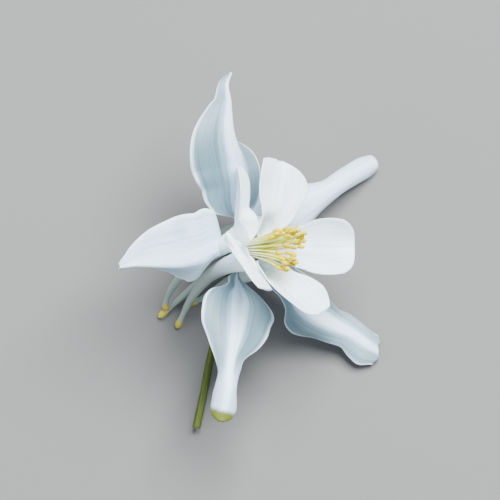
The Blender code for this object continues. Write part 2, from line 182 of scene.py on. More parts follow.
def turned(points, azimuth=0.0):
    """Local points turned about the flower's axis, then leant with it."""
    a, b, c = (math.radians(v) for v in (azimuth, AXIS_LEAN, AXIS_HEADING))
    about = np.array([[math.cos(a), -math.sin(a), 0], [math.sin(a), math.cos(a), 0], [0, 0, 1]])
    lean = np.array([[math.cos(b), 0, math.sin(b)], [0, 1, 0], [-math.sin(b), 0, math.cos(b)]])
    head = np.array([[math.cos(c), -math.sin(c), 0], [math.sin(c), math.cos(c), 0], [0, 0, 1]])
    return points @ (head @ lean @ about).T


# ---------------------------------------------------------------- sepals

SEPAL_GRID = (140, 56)
BEND_PLACES = (0, 0.15, 0.35, 0.6, 0.8, 1.0)
FOLD_GRIP = 6
CURL_POWER = 1.5

# Ribs across each half of a sepal, and the runs at its foot and tip where they fade
SEPAL_RIBS = 5.5
RIB_FADES = (0.2, 0.1)
# Waves of a sepal's margin and of a blunt end, where they start, and how soon they are full.
# The end's waves are still at the midrib and full at END_SHARE of each half.
MARGIN_WAVES = (4.6, 0.3, 0.37)
MARGIN_START, MARGIN_RUN = 0.2, 0.3
END_WAVES = (0.0, 0.9, 0.2)
END_START = 0.8
END_SHARE = 1 / 3
# Where the strength of a sepal's veins and painted flank shade changes from its lower to its upper
# value
VEINS_AND_SHADE_START, VEINS_AND_SHADE_RUN = 0.6, 0.2


def bends(*values):
    """Knots for bends in degrees at BEND_PLACES, from a sepal's foot to its tip."""
    return list(zip(BEND_PLACES, values))


NARROW_CLAW = [(0, .6), (.07, .6), (.11, .8), (.135, 1.6)]
BROAD = NARROW_CLAW + [(.165, 5), (.2, 6.4), (.32, 7.9), (.45, 9.3), (.57, 9.4), (.67, 8),
                       (.74, 6.3), (.81, 4.4), (.9, 3), (.965, 1.6), (1, .5)]

# spine: place, then x, y, z. half: width of each half. fold: turn at the midrib, and
# curl: further turn from the midrib to the margin, for the left half and the right half.
# roll: turn of the whole section about the spine, lifting its right half.
# green: how green its tip is. veined: how strongly its veins and its painted flank shade show,
# low on the sepal and near its tip. blunt: how far its end is waved and sloped, for a sepal with
# a broad end.
SEPALS = (
    dict(spine=[(0, 2.2, 0, -.2), (.15, 7.4, -.4, 2), (.32, 13, -.6, 4.5), (.5, 18.2, .3, 7),
                (.68, 24.4, 1.4, 9), (.85, 30.4, .6, 10), (.94, 33.6, .3, 10.3),
                (1, 35.4, -1.5, 10.1)],
         half=(BROAD,
               NARROW_CLAW + [(.16, 5), (.2, 6.6), (.34, 8.3), (.45, 9.4), (.57, 9.8), (.66, 8.8),
               (.74, 6.7), (.81, 4.8), (.89, 2.7), (.95, 1.4), (1, .3)]),
         fold=(bends(0, -10, -14, -60, -80, -60), bends(0, -15, -25, -25, -25, -25)),
         curl=(bends(0, -10, -20, -50, -60, -40), bends(0, -5, -5, -10, -10, -20)),
         green=.1, veins_and_shade=(1, .85)),
    dict(spine=[(0, 2.2, 0, -.2), (.15, 6, .4, 1.1), (.32, 11.5, 2.2, 2.6), (.5, 18.5, 4, 4.1),
                (.68, 25.6, 4.6, 5), (.85, 31, 4.9, 5.5), (1, 34, 5.4, 5)],
         half=([(0, .6), (.1, .6), (.12, .9), (.132, 5), (.145, 7.8), (.165, 8.4), (.3, 8.9),
               (.4, 9.4), (.55, 8.9), (.67, 7.3), (.76, 5.6), (.84, 3.8), (.92, 2), (.965, 1.4),
               (1, .8)],
               [(0, .6), (.07, .6), (.14, 1), (.21, 1.6), (.25, 3.4), (.275, 6), (.3, 7),
               (.35, 6.6), (.39, 6.2), (.45, 5.2), (.55, 3.4), (.67, 2.6), (.84, 2), (.965, 1.4),
               (1, .8)]),
         fold=(bends(0, 0, 0, 0, -5, -10), bends(0, -30, -60, -75, -85, -60)),
         curl=(bends(0, 0, -5, -10, -20, -30), bends(0, 0, -10, -40, -60, -40)),
         green=.1, veins_and_shade=(.25, .35)),
    dict(spine=[(0, 2.2, 0, -.2), (.15, 6.6, -.1, 1), (.32, 11, .1, 3), (.5, 17.5, .2, 5),
                (.68, 24.8, -.2, 6.5), (.85, 31, .4, 7), (1, 36.6, 1.2, 6)],
         half=(NARROW_CLAW + [(.19, 1.9), (.23, 3.3), (.26, 5.4), (.32, 7), (.4, 7.6), (.5, 7.2),
               (.58, 5.4), (.64, 3.9), (.7, 3.2), (.8, 3.6), (.9, 3.8), (.95, 3.3), (.985, 2),
               (1, .3)],
               NARROW_CLAW + [(.165, 4.4), (.24, 8.2), (.31, 10.3), (.4, 9.2), (.5, 7), (.56, 5.3),
               (.6, 3.9), (.64, 2.9), (.7, 2.5), (.8, 2.7), (.9, 2.9), (.95, 2.7), (.985, 1.8),
               (1, .3)]),
         fold=(bends(0, 0, -8, -10, -10, -10), bends(0, 0, 0, 0, -10, -10)),
         curl=(bends(0, -20, -30, -50, -90, -50), bends(0, -10, -15, -25, -90, -50)),
         roll=bends(0, 0, 0, 10, 30, 30), green=1, veins_and_shade=(1, .35)),
    dict(spine=[(0, 2.2, 0, -.2), (.15, 6, -.1, .4), (.32, 12, -1.2, 2.2), (.5, 18, -1.2, 3.6),
                (.68, 24.6, -.1, 4.1), (.85, 29.6, 1.2, 4.6), (1, 35.5, 2.1, 5)],
         half=(NARROW_CLAW + [(.22, 1.6), (.34, 1.6), (.4, 3), (.44, 5.2), (.5, 6.2), (.58, 6),
               (.66, 4.8), (.74, 3.7), (.82, 3.6), (.9, 4.4), (.95, 4.5), (1, 3.5)],
               NARROW_CLAW + [(.165, 5), (.32, 7.9), (.45, 9.3), (.57, 9.4), (.67, 8.2), (.76, 6.8),
               (.85, 5.6), (.92, 4.8), (1, 3.6)]),
         fold=(bends(0, 0, -20, -25, -15, -10), bends(0, 0, -8, -10, -15, -10)),
         curl=(bends(0, -20, -40, -60, -50, -30), bends(0, -20, -40, -70, -60, -30)),
         green=.15, veins_and_shade=(1, .75), blunt=1),
    dict(spine=[(0, 2.2, 0, -.2), (.15, 6.4, .3, .6), (.32, 11.6, .2, 2), (.5, 17.6, -.7, 3.4),
                (.68, 24.6, -1.5, 3.8), (.85, 30.6, -2.3, 3.8), (1, 37.3, -3.6, 3.7)],
         half=(NARROW_CLAW + [(.165, 4.2), (.25, 8), (.34, 9.8), (.42, 10.4), (.48, 9.2),
               (.57, 8.2), (.67, 7.3), (.8, 6.4), (.9, 6.2), (.97, 5.6), (1, 4.2)],
               NARROW_CLAW + [(.165, 4.2), (.32, 7.7), (.43, 9.4), (.51, 9), (.58, 6.6), (.66, 4.9),
               (.75, 4.7), (.85, 5.2), (.95, 5.2), (1, 4)]),
         fold=(bends(0, 0, -5, -20, -20, -20), bends(0, 0, -10, -20, -20, -20)),
         curl=(bends(0, -20, -30, -130, -160, -150), bends(0, -20, -60, -130, -160, -150)),
         green=.1, veins_and_shade=(.2, .2)),
)


def sepal_surface(shape, rows, columns):
    """Middle surface of a sepal: s runs along its rows, t from margin to margin.

    A point lies at spine(s) + across(s, t) * width direction + lift(s, t) * front direction, where
    across and lift are the sums of cos and sin of the section's turn from the midrib outwards:
    turn = fold(s) * tanh(grip |t|) + curl(s) * |t|**power.
    """
    s = np.linspace(0, 1, rows + 1)
    spine = at_knots(shape["spine"], s)
    along = unit(np.gradient(spine, axis=0))
    width = unit(np.cross([0, 0, 1.0], along))
    front = np.cross(along, width)
    roll = np.radians(value_at(shape.get("roll", bends(0, 0, 0, 0, 0, 0)), s))[:, None]
    width, front = (width * np.cos(roll) + front * np.sin(roll),
                    front * np.cos(roll) - width * np.sin(roll))
    middle = columns // 2
    away = np.linspace(0, 1, middle + 1)
    across = np.zeros((rows + 1, columns + 1))
    lift = np.zeros((rows + 1, columns + 1))
    for side, half, fold, curl in zip((-1, 1), shape["half"], shape["fold"], shape["curl"]):
        turn = np.radians(value_at(fold, s)[:, None] * np.tanh(FOLD_GRIP * away)
                          + value_at(curl, s)[:, None] * away**CURL_POWER)
        step = value_at(half, s)[:, None] / middle
        sums = [np.cumsum((f[:, 1:] + f[:, :-1]) / 2 * step, axis=1)
                for f in (np.cos(turn), np.sin(turn))]
        places = middle + side * np.arange(1, middle + 1)
        across[:, places] = side * sums[0]
        lift[:, places] = sums[1]
    return spine[:, None] + across[..., None] * width[:, None] + lift[..., None] * front[:, None]


def sepal_end(surface, shape, s, t, number, sizes):
    """Shift along a blunt sepal near its end: waves across it, and a slope as (1 - t) / 2."""
    onset = smooth((s - END_START) / (1 - END_START))
    wave = waves(END_WAVES, s, t, number) * onset
    wave = wave * np.minimum(1, np.abs(t) / END_SHARE) * sizes.end_wave / MM
    slope = onset * (1 - t) / 2 * sizes.end_slope / MM
    reach = (wave + slope) * shape.get("blunt", 0.0)
    return unit(np.gradient(surface, axis=0)) * reach[..., None]


def sepal_relief(surface, s, t, number, sizes):
    """Relief square to a sepal: ribs as a cosine of t, and waves that grow with |t| cubed."""
    ribs = np.cos(2 * math.pi * SEPAL_RIBS * t)
    ribs = ribs * smooth(s / RIB_FADES[0]) * smooth((1 - s) / RIB_FADES[1])
    wave = waves(MARGIN_WAVES, s, t, number) * np.abs(t)**3
    wave = wave * smooth((s - MARGIN_START) / MARGIN_RUN) * sizes.ruffle
    relief = (ribs * sizes.vein_height + wave) / MM
    return normals(surface) * relief[..., None]


# ---------------------------------------------------------------- petals

# mouth: the mouth's centre. start and bow: where the spur heads, from the mouth.
# knob and hook: end of the spur and the point it curls from. length: of the blade.
# spread: angle between blade and axis. lean and twist: of the blade, sideways and about itself.
# broad: width against the others. lip: how far the end of the blade bends back.
# flare: how far up the blade it has reached its spread.
# foot: how much broader the lower part of the blade is, each side.
# slant: how much longer the blade is at its left margin than at its midrib.
# corner: how much shorter the blade is at both margins. opening: half angle of its section.
PETAL_GRID = (210, 64)
PETAL_SHARED = dict(mouth=(4.5, 0, 5.2), start=(0.4, 0, -7), bow=(1.6, 0, -14), corner=2.5,
                    twist=0, lean=0, opening=60, broad=1.0, flare=5.0, foot=0, lip=12, slant=0)
PETALS = (
    dict(knob=(-0.9, -0.5, -20.3), hook=(-0.2, -0.6, -21.4), spread=78, lean=13, length=13.1,
         corner=2.6, slant=2.2, broad=0.94),
    dict(knob=(-3.95, 10.3, -20.9), hook=(-1.55, 9.0, -22.0), start=(-0.3, 2.6, -5.2),
         bow=(1.0, 6.0, -13), mouth=(4.6, 0.9, 4.6), spread=66, lean=-43, length=13.2,
         broad=0.7, foot=1.8, opening=53, flare=2.6, corner=3.6, twist=2),
    dict(knob=(9.2, 10.8, -20.3), hook=(6.6, 10.6, -21.2), start=(0.6, 0.4, -6), spread=26,
         lean=-15.5, length=12.8, opening=10, lip=75, twist=9, corner=0.3, mouth=(4.6, 0, 5.4),
         broad=1.06),
    dict(knob=(8.6, -2.9, -17.2), hook=(10.0, -1.0, -18.0), spread=43, lean=6.5, length=14.9,
         corner=5.6, slant=1.5, broad=0.87),
    dict(knob=(-3.9, -11.8, -22.7), hook=(-2.3, -12.0, -23.7), spread=43, lean=-1, length=15.1,
         corner=2.0, bow=(1.9, 4.0, -14)),
)
# Radius of the spur from its knob (0) to the mouth (1), and half width of the blade from there
MOUTH_RADIUS = 2.25
SPUR_RADII = [(0, 0.0), (0.008, 0.38), (0.02, 0.62), (0.035, 0.72), (0.055, 0.66), (0.08, 0.56),
              (0.2, 0.66), (0.5, 1.15), (0.75, 1.55), (0.88, 1.82), (1, MOUTH_RADIUS)]
BLADE_HALF_WIDTHS = [(0, math.pi * MOUTH_RADIUS), (0.1, 4.9), (0.25, 5.0), (0.5, 6.5),
                     (0.75, 6.9), (1.0, 5.9)]
# Lengths of blade over which the tube opens out, the lean sets in, and the end bends back
UNROLL = 4.5
LEAN_RUN = 5.0
LIP = 4.0
# Where a broad foot has reached its width, where it ends, and the length over which it fades
FOOT_RISE = 1.5
FOOT_END = 12.5
FOOT_FALL = 11.5
# Direction that a petal's back faces, in its local frame
BACK_GUIDE = np.array([0.825, 0, -0.565])
# How far a blade's margins turn outwards, and the length over which that sets in
RECURVE = 0.6
RECURVE_RUN = 5.0
# Waves of a blade's end, and where they start
PETAL_WAVES = (0.8, 0.9, 0.21)
PETAL_WAVE_START = 0.55
SPUR_SAMPLES = 400
BLADE_SAMPLES = 150


def petal_surface(shape, rows, columns):
    """Outer surface of a petal, from the knob of its spur to the edge of its blade.

    A line runs along the petal's back. At each place on it the section is an arc of radius r and
    half angle a, both read there, so that a point is back + r (cos(a t) - 1) * outwards
    + r sin(a t) * sideways. The half angle is 180 along the spur, where the section is a whole
    circle, and falls to the blade's opening over the first part of the blade. Returns the points
    and each point's place along the petal, which is 0 at the mouth.
    """
    shape = {**PETAL_SHARED, **shape}
    mouth = np.array(shape["mouth"])
    spur = bezier((mouth, mouth + shape["start"], mouth + shape["bow"], shape["hook"],
                   shape["knob"]), np.linspace(0, 1, SPUR_SAMPLES))[::-1]
    run = run_along(spur)
    spur_length, blade_length = run[-1], shape["length"]
    spur_along = unit(np.gradient(spur, run, axis=0))
    start = math.degrees(math.atan2(spur_along[-1, 0], spur_along[-1, 2]))
    place = np.linspace(0, blade_length, BLADE_SAMPLES)[1:]
    angle = np.radians(start + (shape["spread"] - start) * smooth(place / shape["flare"])
                       + shape["lip"] * smooth((place - blade_length + LIP) / LIP))
    lean = math.asin(spur_along[-1, 1])
    lean = lean + (math.radians(shape["lean"]) - lean) * smooth(place / LEAN_RUN)
    blade_along = np.stack([np.cos(lean) * np.sin(angle), np.sin(lean),
                            np.cos(lean) * np.cos(angle)], 1)
    along = np.concatenate([spur_along, blade_along])
    place = np.concatenate([run - spur_length, place])

    outwards = unit(BACK_GUIDE - along * (along @ BACK_GUIDE)[:, None])
    sideways = np.cross(along, outwards)
    twist = np.radians(shape["twist"]) * smooth(place / blade_length)[:, None]
    outwards, sideways = (outwards * np.cos(twist) + sideways * np.sin(twist),
                          sideways * np.cos(twist) - outwards * np.sin(twist))

    tube = value_at(SPUR_RADII, 1 + np.clip(place, -spur_length, 0) / spur_length)
    blade = value_at(BLADE_HALF_WIDTHS, np.clip(place, 0, blade_length) / blade_length)
    blade = blade * (1 + (shape["broad"] - 1) * smooth(place / UNROLL))
    foot = smooth(place / FOOT_RISE) * smooth((FOOT_END - place) / FOOT_FALL)
    blade = blade + shape["foot"] * foot
    rolled = (1 - np.clip(place / UNROLL, 0, 1))**2
    half_angle = np.radians(shape["opening"] + (180 - shape["opening"]) * rolled)
    radius = np.where(place <= 0, tube, blade / half_angle)
    steps = blade_along * (blade_length / (BLADE_SAMPLES - 1))
    spur_back = spur + tube[:len(spur), None] * outwards[:len(spur)]
    back = np.concatenate([spur_back, spur_back[-1] + np.cumsum(steps, axis=0)])

    v = np.linspace(0, 1, rows + 1)[:, None]
    t = np.linspace(-1, 1, columns + 1)[None, :]
    reach = v * (spur_length + blade_length) - spur_length
    reach = reach + (shape["slant"] * t - shape["corner"] * t**4) * smooth(reach / blade_length)

    def read(values):
        """Values along the petal, read at each point of the grid."""
        if values.ndim == 1:
            return np.interp(reach, place, values)
        return np.stack([np.interp(reach, place, column) for column in values.T], -1)

    r, turn = read(radius), read(half_angle) * t
    recurve = RECURVE * t**4 * smooth(reach / RECURVE_RUN)
    points = (read(back) + (r * (np.cos(turn) - 1) + recurve)[..., None] * read(outwards)
              + (r * np.sin(turn))[..., None] * read(sideways))
    return points, reach / np.where(reach < 0, spur_length, blade_length)


def petal_relief(surface, along, number, sizes):
    """Relief square to a petal: waves that grow towards the end of its blade."""
    t = np.linspace(-1, 1, surface.shape[1])[None]
    onset = smooth((along - PETAL_WAVE_START) / (1 - PETAL_WAVE_START))
    wave = waves(PETAL_WAVES, along, t, number) * onset * sizes.petal_wave / MM
    return normals(surface) * wave[..., None]


# ---------------------------------------------------------------- small organs

def receptacle_height(radius):
    """Height of the receptacle's domed top at a distance from the axis."""
    share = np.clip(1 - (np.asarray(radius, float) / RECEPTACLE_RADIUS)**2, 0, 1)
    return RECEPTACLE_RIM + (RECEPTACLE_TOP - RECEPTACLE_RIM) * np.sqrt(share)


def receptacle_surface(rows, columns):
    """Dome on a short drum that narrows to the stem, turned about the axis, with faint scars."""
    r_dome = RECEPTACLE_RADIUS * np.sin(np.radians(np.linspace(0, 90, 24)))
    dome = np.stack([r_dome, receptacle_height(r_dome)], 1)
    drum = [(0, RECEPTACLE_RADIUS, RECEPTACLE_RIM), (1, RECEPTACLE_RADIUS * 0.97, -0.6),
            (2, RECEPTACLE_RADIUS * 0.75, -1.7), (3, RECEPTACLE_FOOT, RECEPTACLE_BACK)]
    side = at_knots(drum, np.linspace(0, 3, 40))[1:]
    foot = np.linspace(1, 0, 6)[1:, None] * (RECEPTACLE_FOOT, 0) + (0, RECEPTACLE_BACK)
    profile = np.concatenate([dome, side, foot])
    run = run_along(profile)
    even = np.linspace(0, run[-1], rows + 1)
    r, z = (np.interp(even, run, profile[:, k]) for k in (0, 1))
    turn = np.linspace(0, 2 * math.pi, columns + 1)
    belt = np.exp(-((z[:, None] - SCAR_HEIGHT) / SCAR_RUN)**2)
    scar = SCAR_DEPTH * np.sin(ORGANS * 2 * turn)[None] * belt
    ring = r[:, None] * (1 + scar / RECEPTACLE_RADIUS)
    return np.stack([ring * np.cos(turn), ring * np.sin(turn),
                     np.broadcast_to(z[:, None], ring.shape)], -1)


def rod_surface(line, radii, columns, section):
    """Closed tube round a line of points: line + radius (cos a * side + sin a * other).

    side and other stand square to the line, and section(a) scales the radius by its angle.
    """
    line = np.asarray(line, float)
    along = unit(np.gradient(line, axis=0))
    guide = np.array([0.0, 1.0, 0.0]) if abs(along[0, 1]) < 0.8 else np.array([1.0, 0.0, 0.0])
    side = unit(guide - along * (along @ guide)[:, None])
    other = np.cross(along, side)
    turn = np.linspace(0, 2 * math.pi, columns + 1)
    radius = np.asarray(radii, float)[:, None] * section(turn)[None]
    points = (line[:, None] + (radius * np.cos(turn))[..., None] * side[:, None]
              + (radius * np.sin(turn))[..., None] * other[:, None])
    first = np.broadcast_to(line[:1, None], (1, columns + 1, 3))
    last = np.broadcast_to(line[-1:, None], (1, columns + 1, 3))
    return np.concatenate([first, points, last])


def stem_ridges(turn):
    """Share of the stem's radius: eight broad furrows and eleven faint ones."""
    return 1 - STEM_FURROW * np.cos(4 * turn)**2 - STEM_RIDGE * np.cos(11 * turn)


def stamen_line(number, angle, ring, count):
    """Filament from the receptacle: a Bezier curve through its foot and towards its tip.

    The tip stands at shift + fan * across sideways and at lift + rise * up towards the flower's
    high side, where across and up are the filament's place in its ring, from -1 to 1.
    """
    across, up = math.cos(angle) * ring, math.sin(angle) * ring
    scale = 1 / STAMEN_RINGS[-1][1]
    lift, rise, fan = HIGH_STAMENS if up > 0 else LOW_STAMENS
    length = (STAMEN_LENGTH + STAMEN_VARIETY * math.sin(number * STAMEN_PHASE + 1)
              + INNER_EXTRA * (STAMEN_RINGS[-1][1] - ring))
    foot = np.array([across, up, float(receptacle_height(ring)) + SEAT_GAP])
    tip = np.array([STAMEN_SHIFT + fan * across * scale, lift + rise * up * scale, length])
    wide, high, tall = FILAMENT_BOW
    middle = np.array([wide * across, high * up, foot[2] + tall * length])
    return bezier((foot, middle, tip), np.linspace(0, 1, count))


def two_lobes(turn):
    """Share of a stamen's radius, pinched on both sides where the anther's lobes meet."""
    return 1 - LOBE_CLEFT * np.cos(turn)**8


def six_ribs(turn):
    """Share of a carpel's radius."""
    return 1 + CARPEL_RIB * np.cos(6 * turn)


def carpel_line(number, count):
    """Ovary and style of one carpel, bowing outwards and to the high side with height squared."""
    angle = math.radians(FIRST_PETAL + TURN * number)
    out = np.array([math.cos(angle), math.sin(angle), 0])
    base = float(receptacle_height(CARPEL_RING)) + SEAT_GAP
    height = np.linspace(0, CARPEL_LENGTH - base, count)
    share = (height / CARPEL_LENGTH)[:, None]
    return (out * (CARPEL_RING + share**2) + np.array([0, CARPEL_BOW, 0]) * share**2
            + np.array([0, 0, 1]) * (base + height[:, None]))


# ---------------------------------------------------------------- meshes

def find_centre():
    """Centre of the flower: middle of the CAD receptacle less that of the same knob at zero."""
    knob = turned(receptacle_surface(40, 40)).reshape(-1, 3) * MM
    low, high = (np.array(corner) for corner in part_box("receptacle"))
    return (low + high) / 2 - (knob.min(0) + knob.max(0)) / 2


CENTRE = find_centre()


def in_place(surface, azimuth=0.0):
    """Local points in millimetres, in metres on the CAD receptacle."""
    return turned(surface, azimuth) * MM + CENTRE


def sheet_mesh(name, surface, fields):
    """Grid of quads through a surface of points in metres, with each field's value per point."""
    rows, columns = surface.shape[0] - 1, surface.shape[1] - 1
    first = (np.arange(rows)[:, None] * (columns + 1) + np.arange(columns)[None]).ravel()
    corners = np.stack([first, first + 1, first + columns + 2, first + columns + 1], 1)
    mesh = bpy.data.meshes.new(name)
    mesh.vertices.add(surface.shape[0] * surface.shape[1])
    mesh.vertices.foreach_set("co", surface.astype(np.float32).ravel())
    mesh.loops.add(corners.size)
    mesh.loops.foreach_set("vertex_index", corners.astype(np.int32).ravel())
    mesh.polygons.add(len(corners))
    mesh.polygons.foreach_set("loop_start", np.arange(0, corners.size, 4, dtype=np.int32))
    mesh.update(calc_edges=True)
    grid = np.stack(np.meshgrid(np.linspace(0, 1, columns + 1), np.linspace(0, 1, rows + 1)), -1)
    uv = mesh.uv_layers.new(name="UVMap")
    uv.data.foreach_set("uv", grid.reshape(-1, 2)[corners.ravel()].astype(np.float32).ravel())
    for field, values in fields.items():
        layer = mesh.attributes.new(field, "FLOAT", "POINT")
        layer.data.foreach_set("value", np.broadcast_to(
            values, surface.shape[:2]).astype(np.float32).ravel())
    return mesh


def weld(mesh, outwards=False):
    """Merge points that fall together, and if asked turn all faces outwards."""
    body = bmesh.new()
    body.from_mesh(mesh)
    bmesh.ops.remove_doubles(body, verts=body.verts, dist=MERGE_DISTANCE)
    if outwards:
        bmesh.ops.recalc_face_normals(body, faces=body.faces)
    body.to_mesh(mesh)
    body.free()
    mesh.shade_smooth()
    return mesh


def add_piece(mesh, finish, slot, *nodes):
    """Object named after its finished mesh, riding the body, in place of its CAD nodes."""
    piece = bpy.data.objects.new(mesh.name, mesh)
    bpy.context.scene.collection.objects.link(piece)
    mesh.materials.append(finish)
    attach(piece, "root")
    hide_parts(*nodes)
    return piece


def give_wall(piece, thickness, offset):
    """Thickness for a sheet, in metres."""
    wall = piece.modifiers.new("wall", "SOLIDIFY")
    wall.thickness = thickness
    wall.offset = offset


# ---------------------------------------------------------------- materials

TISSUE_IOR = 1.42


class Nodes:
    """Short way to build a material's node tree."""

    def __init__(self, name):
        self.material = bpy.data.materials.new(name)
        self.material.use_nodes = True
        self.tree = self.material.node_tree
        self.shader = self.tree.nodes["Principled BSDF"]

    def add(self, kind, settings=None, **inputs):
        """New node; an input's underscore stands for a space in its socket's name."""
        node = self.tree.nodes.new(kind)
        for key, value in (settings or {}).items():
            setattr(node, key, value)
        for key, value in inputs.items():
            self.feed(node, key.replace("_", " "), value)
        return node

    def feed(self, node, key, value):
        """Link a socket to an input, or set the input's own value. A digit key is its index."""
        socket = node.inputs[int(key)] if key.isdigit() else node.inputs[key]
        if isinstance(value, bpy.types.NodeSocket):
            self.tree.links.new(value, socket)
        else:
            socket.default_value = (*value, 1) if socket.type == "RGBA" else value

    def field(self, name):
        """Value of a point attribute."""
        return self.add("ShaderNodeAttribute", {"attribute_name": name}).outputs["Fac"]

    def maths(self, kind, a, b=0.0):
        """Result of one operation, named as in the node."""
        node = self.add("ShaderNodeMath", {"operation": kind})
        self.feed(node, "0", a)
        self.feed(node, "1", b)
        return node.outputs[0]

    def times(self, a, b):
        """Product of two values."""
        return self.maths("MULTIPLY", a, b)

    def ramp(self, value, low, high, out_low=0.0, out_high=1.0):
        """Smooth change from out_low to out_high as the value goes from low to high."""
        node = self.add("ShaderNodeMapRange", {"interpolation_type": "SMOOTHSTEP"}, Value=value)
        for key, number in zip(("1", "2", "3", "4"), (low, high, out_low, out_high)):
            self.feed(node, key, number)
        return node.outputs[0]

    def mix(self, factor, a, b):
        """Colour a, turning into colour b as the factor goes from 0 to 1."""
        node = self.add("ShaderNodeMix", {"data_type": "RGBA", "blend_type": "MIX"})
        self.feed(node, "0", factor)
        self.feed(node, "6", a)
        self.feed(node, "7", b)
        return node.outputs[2]

    def noise(self, source, stretch, scale, detail, roughness):
        """Noise on UV or object coordinates, stretched by a different number each way."""
        coordinates = self.add("ShaderNodeTexCoord")
        mapping = self.add("ShaderNodeMapping", Vector=coordinates.outputs[source])
        mapping.inputs["Scale"].default_value = stretch
        node = self.add("ShaderNodeTexNoise", None, Vector=mapping.outputs[0], Scale=scale,
                        Detail=detail, Roughness=roughness)
        return node.outputs["Fac"]

    def streaks(self, stretch, detail, roughness):
        """Noise that follows the piece's grid, along it and across it."""
        return self.noise("UV", stretch, 1.0, detail, roughness)

    def grain(self, scale, detail, roughness):
        """Noise that is the same in every direction."""
        return self.noise("Object", (1, 1, 1), scale, detail, roughness)

    def bump(self, height, strength, distance):
        """Normal of a surface raised by a height field."""
        node = self.add("ShaderNodeBump", None, Height=height, Strength=strength,
                        Distance=distance)
        return node.outputs[0]

    def finish(self, colour, roughness, normal=None, subsurface=0.0, radius=None, sheen=0.0):
        """The material, with its shader's main sockets filled in."""
        shader = self.shader
        self.feed(shader, "Base Color", colour)
        self.feed(shader, "Roughness", roughness)
        if normal is not None:
            self.feed(shader, "Normal", normal)
        shader.inputs["Subsurface Weight"].default_value = subsurface
        if radius:
            shader.inputs["Subsurface Radius"].default_value = radius
            shader.inputs["Subsurface Scale"].default_value = MM
        shader.inputs["Sheen Weight"].default_value = sheen
        shader.inputs["IOR"].default_value = TISSUE_IOR
        return self.material


def sepal_finish(colours):
    """White tissue with lengthwise veins, painted blue-grey shade on its flanks, and green at its
    tip.
    """
    n = Nodes("sepal_tissue")
    along, across, green, veins_and_shade = (n.field(f) for f in ("along", "across", "green", "veins_and_shade"))
    fine = n.streaks((30, 2.4, 1), 4.0, 0.65)
    broad = n.streaks((12, 1.3, 1), 2.0, 0.5)
    mottle = n.grain(260.0, 3.0, 0.6)
    away = n.maths("ABSOLUTE", across)
    # Vein colour, also laid on the flanks as painted blue-grey shade
    vein_and_shade_tint = colours.vein_and_shade
    # Painted shade on the flanks: away from the midrib, fading at the margin, scaled per sepal by
    # veined
    flank_shade = n.times(n.ramp(away, 0.08, 0.42), n.ramp(away, 1.0, 0.86, 0.25, 1.0))
    flank_shade = n.times(flank_shade, veins_and_shade)
    colour = n.mix(n.times(flank_shade, 0.9), colours.sepal, vein_and_shade_tint)
    # Veins and broad streaks show more where the painted flank shade lies
    line = n.times(n.ramp(fine, 0.53, 0.38), n.ramp(flank_shade, 0.0, 1.0, 0.12, 0.75))
    colour = n.mix(line, colour, vein_and_shade_tint)
    band = n.times(n.ramp(broad, 0.55, 0.3), n.ramp(flank_shade, 0.0, 1.0, 0.12, 0.4))
    colour = n.mix(band, colour, vein_and_shade_tint)
    colour = n.mix(n.ramp(mottle, 0.55, 0.35, 0.0, 0.08), colour, vein_and_shade_tint)
    colour = n.mix(n.ramp(away, 0.88, 1.0, 0.0, 0.5), colour, colours.sepal_margin)
    colour = n.mix(n.ramp(along, 0.2, 0.02, 0.0, 0.5), colour, colours.throat)
    tip = n.ramp(n.maths("ADD", along, n.times(fine, 0.03)), 0.94, 0.975)
    colour = n.mix(n.times(tip, green), colour, colours.tip)
    relief = n.maths("ADD", n.times(fine, 0.7), n.times(broad, 0.8))
    return n.finish(colour, n.ramp(fine, 0.3, 0.7, 0.52, 0.44), n.bump(relief, 0.35, 0.0003),
                    subsurface=0.3, radius=(1.0, 1.0, 1.0), sheen=0.12)


def petal_finish(colours):
    """White tissue, greenish along the spur, yellow-green at its knob and down in the throat."""
    n = Nodes("petal_tissue")
    along = n.field("along")
    veins = n.streaks((30, 3.0, 1), 3.0, 0.6)
    mottle = n.grain(320.0, 3.0, 0.6)
    colour = n.mix(n.ramp(veins, 0.52, 0.36, 0.0, 0.22), colours.petal, colours.vein_and_shade)
    colour = n.mix(n.ramp(mottle, 0.55, 0.35, 0.0, 0.06), colour, colours.vein_and_shade)
    throat = n.times(n.ramp(along, -0.25, 0.0), n.ramp(along, 0.45, 0.1, 0.0, 0.35))
    colour = n.mix(throat, colour, colours.throat)
    spur = n.ramp(along, 0.0, -0.35, 0.0, 0.9)
    colour = n.mix(spur, colour, colours.spur)
    knob = n.ramp(along, -0.915, -0.95)
    colour = n.mix(knob, colour, colours.knob)
    relief = n.maths("ADD", n.times(veins, 0.7), n.times(mottle, 0.3))
    return n.finish(colour, n.ramp(veins, 0.3, 0.7, 0.5, 0.42), n.bump(relief, 0.3, 0.0003),
                    subsurface=0.35, radius=(1.0, 1.0, 1.0), sheen=0.12)


def stamen_finish(colours):
    """Filament, whitish at its foot, with a grainy yellow anther."""
    n = Nodes("stamen_pollen")
    part, along = n.field("part"), n.field("along")
    grain = n.grain(2600.0, 3.0, 0.7)
    pollen = n.mix(n.ramp(grain, 0.38, 0.6), colours.anther_shade, colours.anther)
    filament = n.mix(n.ramp(along, 0.3, 0.75), colours.filament_foot, colours.filament)
    colour = n.mix(part, filament, pollen)
    n.shader.inputs["Specular IOR Level"].default_value = 0.15
    return n.finish(colour, 0.8, n.bump(grain, 0.7, 0.00015))


def carpel_finish(colours):
    """Greenish-yellow ovary and style with a soft down."""
    n = Nodes("carpel_skin")
    along = n.field("along")
    grain = n.grain(1500.0, 3.0, 0.6)
    colour = n.mix(n.ramp(along, 0.0, 0.5), colours.carpel_base, colours.carpel)
    colour = n.mix(n.ramp(grain, 0.6, 0.35, 0.0, 0.35), colour, colours.carpel_base)
    return n.finish(colour, 0.5, n.bump(grain, 0.3, 0.0001),
                    subsurface=0.2, radius=(0.6, 0.6, 0.2))


